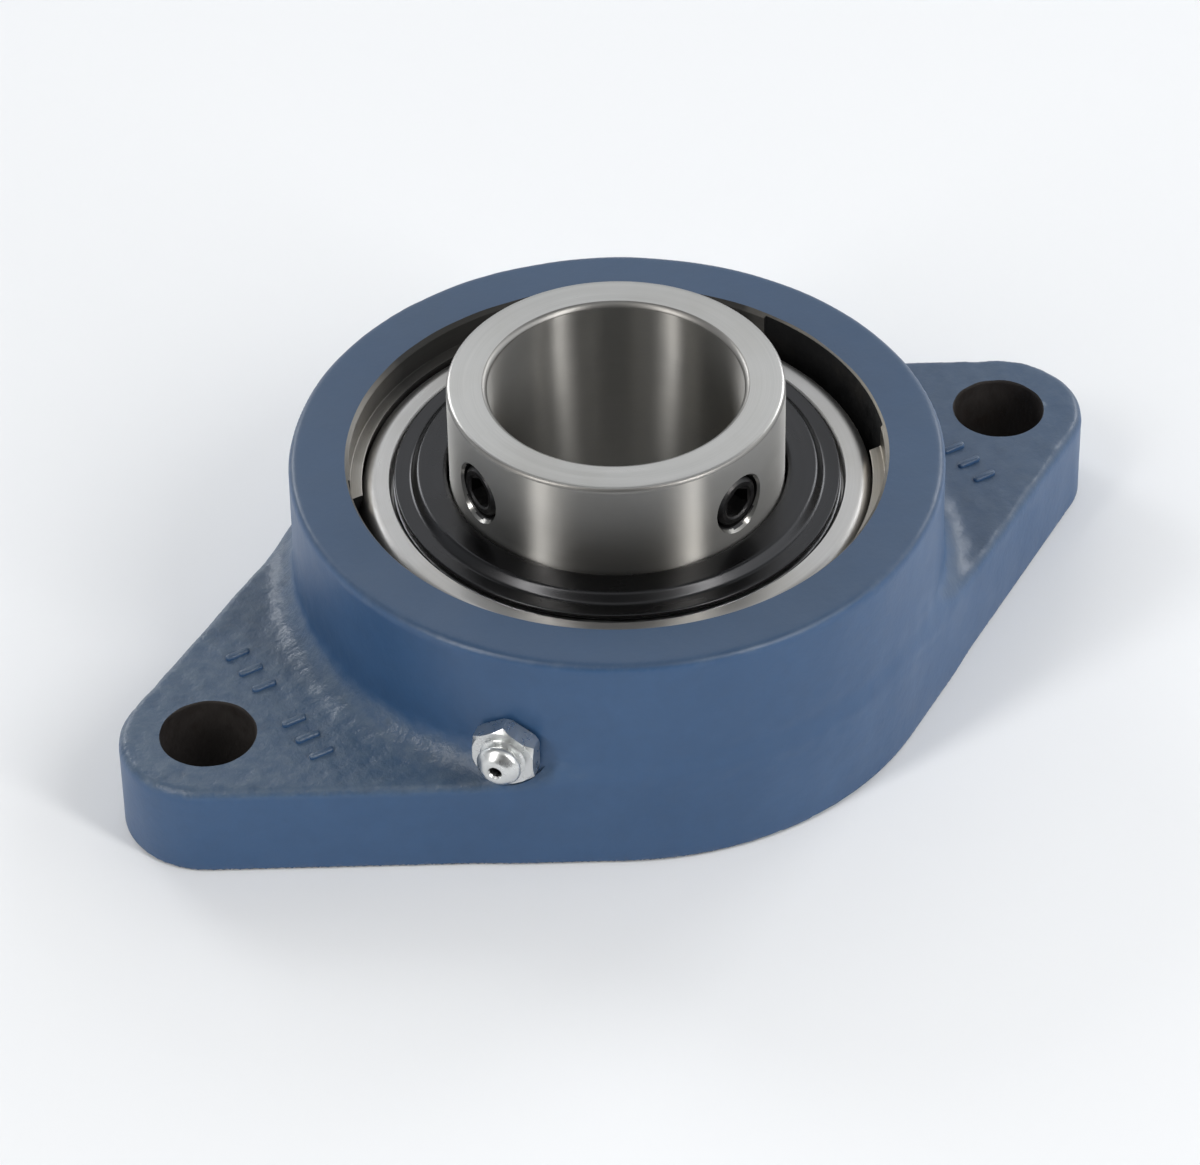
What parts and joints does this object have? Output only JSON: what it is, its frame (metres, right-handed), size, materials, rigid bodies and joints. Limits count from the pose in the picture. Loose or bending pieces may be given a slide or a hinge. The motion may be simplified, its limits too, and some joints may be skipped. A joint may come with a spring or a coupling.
{
  "type": "flange mount bearing",
  "caption": "Rhombic two-bolt cast flange housing holding a self-aligning set-screw insert ball bearing for a rotating shaft, with a side grease nipple.",
  "frame": {"origin": "where the shaft axis meets the flat mounting face", "axes": "+Z along the shaft, away from the mounting face towards the set-screw collar; +X along the line of the two bolt holes"},
  "size_m": [0.1548, 0.0908, 0.0464],
  "materials": {
    "painted_casting": "semi-gloss blue-grey enamel over a sand casting",
    "ground_ring_steel": "turned and ground bearing steel",
    "ball_steel": "polished bearing balls",
    "pressed_steel": "pressed sheet steel",
    "rivet_steel": "headed steel wire",
    "seal_rubber": "matt black nitrile rubber",
    "dark_slinger": "dark phosphated steel disc",
    "black_oxide": "black oxide screw",
    "zinc_plate": "zinc-plated turned steel",
    "spring_steel": "drawn spring wire"
  },
  "bodies": {
    "housing_body": {"housing": "painted_casting", "grease_nipple_body": "zinc_plate", "nipple_spring": "spring_steel"},
    "outer_body": {"outer_ring": "ground_ring_steel", "seal_front_shield": "pressed_steel", "seal_front_lip": "seal_rubber", "seal_rear_shield": "pressed_steel", "seal_rear_lip": "seal_rubber"},
    "inner_body": {"inner_ring": "ground_ring_steel", "slinger_front": "dark_slinger", "slinger_rear": "dark_slinger"},
    "cage_body": {"cage_front": "pressed_steel", "cage_rear": "pressed_steel", "cage_rivet_1": "rivet_steel", "cage_rivet_2": "rivet_steel", "cage_rivet_3": "rivet_steel", "cage_rivet_4": "rivet_steel", "cage_rivet_5": "rivet_steel", "cage_rivet_6": "rivet_steel", "cage_rivet_7": "rivet_steel", "cage_rivet_8": "rivet_steel", "cage_rivet_9": "rivet_steel"},
    "ball_body_1": {"ball_1": "ball_steel"},
    "ball_body_2": {"ball_2": "ball_steel"},
    "ball_body_3": {"ball_3": "ball_steel"},
    "ball_body_4": {"ball_4": "ball_steel"},
    "ball_body_5": {"ball_5": "ball_steel"},
    "ball_body_6": {"ball_6": "ball_steel"},
    "ball_body_7": {"ball_7": "ball_steel"},
    "ball_body_8": {"ball_8": "ball_steel"},
    "ball_body_9": {"ball_9": "ball_steel"},
    "screw_body_1": {"set_screw_1": "black_oxide"},
    "screw_body_2": {"set_screw_2": "black_oxide"},
    "check_ball_body": {"nipple_check_ball": "ball_steel"}
  },
  "joints": [
    {"name": "self_align_tilt", "type": "hinge", "parent": "housing_body", "child": "outer_body", "pos_m": [0, 0, 0.021], "axis": [1, 0, 0], "range_deg": [-3, 3]},
    {"name": "inner_spin", "type": "hinge", "parent": "outer_body", "child": "inner_body", "pos_m": [0, 0, 0.021], "axis": [0, 0, 1], "continuous": true},
    {"name": "cage_orbit", "type": "hinge", "parent": "outer_body", "child": "cage_body", "pos_m": [0, 0, 0.021], "axis": [0, 0, 1], "continuous": true},
    {"name": "ball_spin_1", "type": "hinge", "parent": "cage_body", "child": "ball_body_1", "pos_m": [0.02514, 0.00915, 0.021], "axis": [0, 0, 1], "continuous": true},
    {"name": "ball_spin_2", "type": "hinge", "parent": "cage_body", "child": "ball_body_2", "pos_m": [0.01337, 0.02317, 0.021], "axis": [0, 0, 1], "continuous": true},
    {"name": "ball_spin_3", "type": "hinge", "parent": "cage_body", "child": "ball_body_3", "pos_m": [-0.00465, 0.02634, 0.021], "axis": [0, 0, 1], "continuous": true},
    {"name": "ball_spin_4", "type": "hinge", "parent": "cage_body", "child": "ball_body_4", "pos_m": [-0.02049, 0.01719, 0.021], "axis": [0, 0, 1], "continuous": true},
    {"name": "ball_spin_5", "type": "hinge", "parent": "cage_body", "child": "ball_body_5", "pos_m": [-0.02675, 0, 0.021], "axis": [0, 0, 1], "continuous": true},
    {"name": "ball_spin_6", "type": "hinge", "parent": "cage_body", "child": "ball_body_6", "pos_m": [-0.02049, -0.01719, 0.021], "axis": [0, 0, 1], "continuous": true},
    {"name": "ball_spin_7", "type": "hinge", "parent": "cage_body", "child": "ball_body_7", "pos_m": [-0.00465, -0.02634, 0.021], "axis": [0, 0, 1], "continuous": true},
    {"name": "ball_spin_8", "type": "hinge", "parent": "cage_body", "child": "ball_body_8", "pos_m": [0.01337, -0.02317, 0.021], "axis": [0, 0, 1], "continuous": true},
    {"name": "ball_spin_9", "type": "hinge", "parent": "cage_body", "child": "ball_body_9", "pos_m": [0.02514, -0.00915, 0.021], "axis": [0, 0, 1], "continuous": true},
    {"name": "set_screw_travel_1", "type": "slide", "parent": "inner_body", "child": "screw_body_1", "axis": [-0.9986, -0.0523, 0], "range_m": [-0.0007, 0.0022]},
    {"name": "set_screw_travel_2", "type": "slide", "parent": "inner_body", "child": "screw_body_2", "axis": [0.2504, -0.9681, 0], "range_m": [-0.0007, 0.0022]},
    {"name": "nipple_check_travel", "type": "slide", "parent": "housing_body", "child": "check_ball_body", "axis": [0.7683, 0.6401, 0], "range_m": [0, 0.0005], "stiffness_N_per_m": 80, "deforming": ["nipple_spring"]}
  ],
  "couplings": [
    {"joint": "cage_orbit", "follows": "inner_spin", "ratio": 0.39615},
    {"joint": "ball_spin_1", "follows": "inner_spin", "ratio": -2.3033},
    {"joint": "ball_spin_2", "follows": "inner_spin", "ratio": -2.3033},
    {"joint": "ball_spin_3", "follows": "inner_spin", "ratio": -2.3033},
    {"joint": "ball_spin_4", "follows": "inner_spin", "ratio": -2.3033},
    {"joint": "ball_spin_5", "follows": "inner_spin", "ratio": -2.3033},
    {"joint": "ball_spin_6", "follows": "inner_spin", "ratio": -2.3033},
    {"joint": "ball_spin_7", "follows": "inner_spin", "ratio": -2.3033},
    {"joint": "ball_spin_8", "follows": "inner_spin", "ratio": -2.3033},
    {"joint": "ball_spin_9", "follows": "inner_spin", "ratio": -2.3033}
  ]
}
